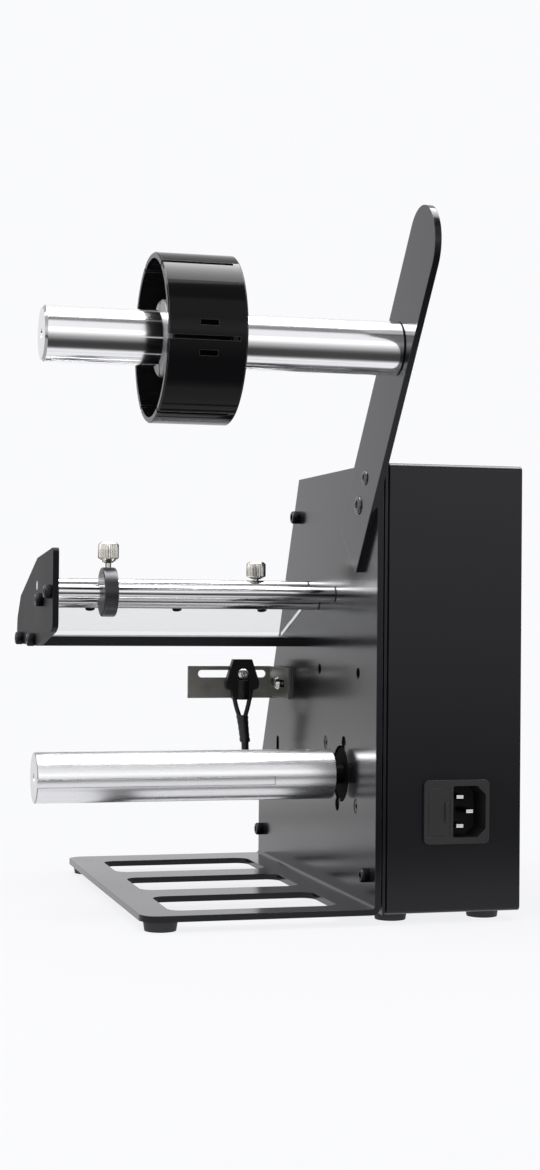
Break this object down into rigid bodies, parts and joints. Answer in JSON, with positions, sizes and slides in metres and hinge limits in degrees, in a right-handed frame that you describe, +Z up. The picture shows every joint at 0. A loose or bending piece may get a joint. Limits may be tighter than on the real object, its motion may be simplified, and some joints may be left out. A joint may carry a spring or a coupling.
{
  "type": "label dispenser",
  "caption": "Benchtop label dispenser with a roll spindle on a leaning arm, a peel table behind guide rods, a powered backing take-up shaft and a gap sensor on an open L-shaped chassis.",
  "frame": {"origin": "centre of the bounding box's bottom face, on the floor under the feet", "axes": "+X along the shafts towards the control housing, +Y from the supply spindle to the peel edge, +Z up"},
  "size_m": [0.2408, 0.3062, 0.3304],
  "materials": {
    "black_coat": "satin powder coat",
    "housing_coat": "satin powder coat",
    "polished_aluminium": "polished, fine turning marks",
    "polished_steel": "bright ground rod",
    "bare_steel": "bare stamped sheet",
    "zinc_screw": "bright zinc",
    "black_screw": "blackened",
    "nickel_knob": "knurled, nickel plated",
    "core_plastic": "gloss black moulding",
    "bush_plastic": "grey moulding",
    "collar_metal": "satin charcoal",
    "acrylic": "clear cast sheet",
    "foot_rubber": "matt",
    "sensor_plastic": "matt moulding",
    "cable_jacket": "satin jacket",
    "inlet_plastic": "satin moulding",
    "pin_brass": "tinned",
    "cast_alloy": "as cast",
    "motor_can": "plated",
    "dial_plastic": "satin moulding",
    "board_green": "coated board",
    "core_steel": "varnished laminations",
    "fuse_glass": "clear tube"
  },
  "bodies": {
    "frame": {"chassis": "black_coat", "housing_tray": "black_coat", "housing_cover": "housing_coat", "cover_screws": "black_screw", "feet": "foot_rubber", "rivet_nuts": "zinc_screw", "housing_screws": "black_screw", "spindle_arm": "black_coat", "arm_screw_lower": "black_screw", "arm_screw_upper": "black_screw", "supply_shaft": "polished_aluminium", "spindle_bolt": "black_screw", "rod_rear": "polished_steel", "rod_lower": "polished_steel", "rod_front": "polished_steel", "clear_plate": "acrylic", "clear_plate_screws": "zinc_screw", "end_plate": "black_coat", "end_plate_screws": "black_screw", "peel_table": "black_coat", "inner_screws": "zinc_screw", "gearbox": "cast_alloy", "motor": "motor_can", "motor_screws": "black_screw", "bracket_screw": "zinc_screw", "sensor_cable_tail": "cable_jacket", "cable_clip": "sensor_plastic", "mains_inlet": "inlet_plastic", "inlet_pins": "pin_brass", "potentiometer": "motor_can", "switch_case": "inlet_plastic", "board_pillars": "sensor_plastic", "control_board": "board_green", "transformer": "core_steel"},
    "core_carrier": {"core_bush": "bush_plastic", "core_retainer": "zinc_screw"},
    "roll_core": {"roll_core": "core_plastic"},
    "takeup": {"takeup_shaft": "polished_aluminium", "drive_shaft": "polished_steel", "set_screw": "black_screw"},
    "takeup_clip": {"takeup_clip": "polished_steel"},
    "guide_collar": {"guide_collar": "collar_metal"},
    "guide_thumbscrew": {"guide_thumbscrew": "nickel_knob"},
    "front_thumbscrew": {"front_thumbscrew": "nickel_knob"},
    "sensor_bracket": {"sensor_bracket": "bare_steel", "sensor_cable_middle": "cable_jacket"},
    "sensor": {"sensor_head": "sensor_plastic", "sensor_screw": "zinc_screw", "sensor_nut": "zinc_screw", "sensor_cable_leads": "cable_jacket"},
    "fuse_drawer": {"fuse_drawer": "inlet_plastic", "fuse": "fuse_glass"},
    "speed_dial": {"speed_dial": "dial_plastic", "dial_shaft": "polished_steel"},
    "rocker": {"rocker": "inlet_plastic"}
  },
  "joints": [
    {"name": "core_slide", "type": "slide", "parent": "frame", "child": "core_carrier", "axis": [1, 0, 0], "range_m": [-0.045, 0.075]},
    {"name": "core_spin", "type": "hinge", "parent": "core_carrier", "child": "roll_core", "pos_m": [-0.0538, -0.10154, 0.27085], "axis": [1, 0, 0], "continuous": true},
    {"name": "takeup_spin", "type": "hinge", "parent": "frame", "child": "takeup", "pos_m": [-0.0333, -0.00927, 0.0677], "axis": [1, 0, 0], "continuous": true},
    {"name": "clip_pull", "type": "slide", "parent": "takeup", "child": "takeup_clip", "axis": [-1, 0, 0], "range_m": [0, 0.118]},
    {"name": "collar_slide", "type": "slide", "parent": "frame", "child": "guide_collar", "axis": [1, 0, 0], "range_m": [-0.0196, 0.1094]},
    {"name": "guide_screw_turn", "type": "hinge", "parent": "guide_collar", "child": "guide_thumbscrew", "pos_m": [-0.0705, 0.00513, 0.1705], "axis": [0, 0, 1], "range_deg": [0, 360]},
    {"name": "front_screw_turn", "type": "hinge", "parent": "frame", "child": "front_thumbscrew", "pos_m": [0.0184, 0.05513, 0.1658], "axis": [0, 0, 1], "range_deg": [0, 360]},
    {"name": "bracket_slide", "type": "slide", "parent": "frame", "child": "sensor_bracket", "axis": [0, 1, 0], "range_m": [-0.011, 0.011]},
    {"name": "sensor_slide", "type": "slide", "parent": "sensor_bracket", "child": "sensor", "axis": [1, 0, 0], "range_m": [-0.022, 0.006]},
    {"name": "fuse_drawer_pull", "type": "slide", "parent": "frame", "child": "fuse_drawer", "axis": [0, -1, 0], "range_m": [0, 0.02]},
    {"name": "dial_turn", "type": "hinge", "parent": "frame", "child": "speed_dial", "pos_m": [0.0867, 0.09744, 0.16881], "axis": [0, 0.8997, 0.4364], "range_deg": [-150, 150]},
    {"name": "rocker_tilt", "type": "hinge", "parent": "frame", "child": "rocker", "pos_m": [0.0867, 0.12101, 0.12023], "axis": [1, 0, 0], "range_deg": [-16, 0]}
  ]
}
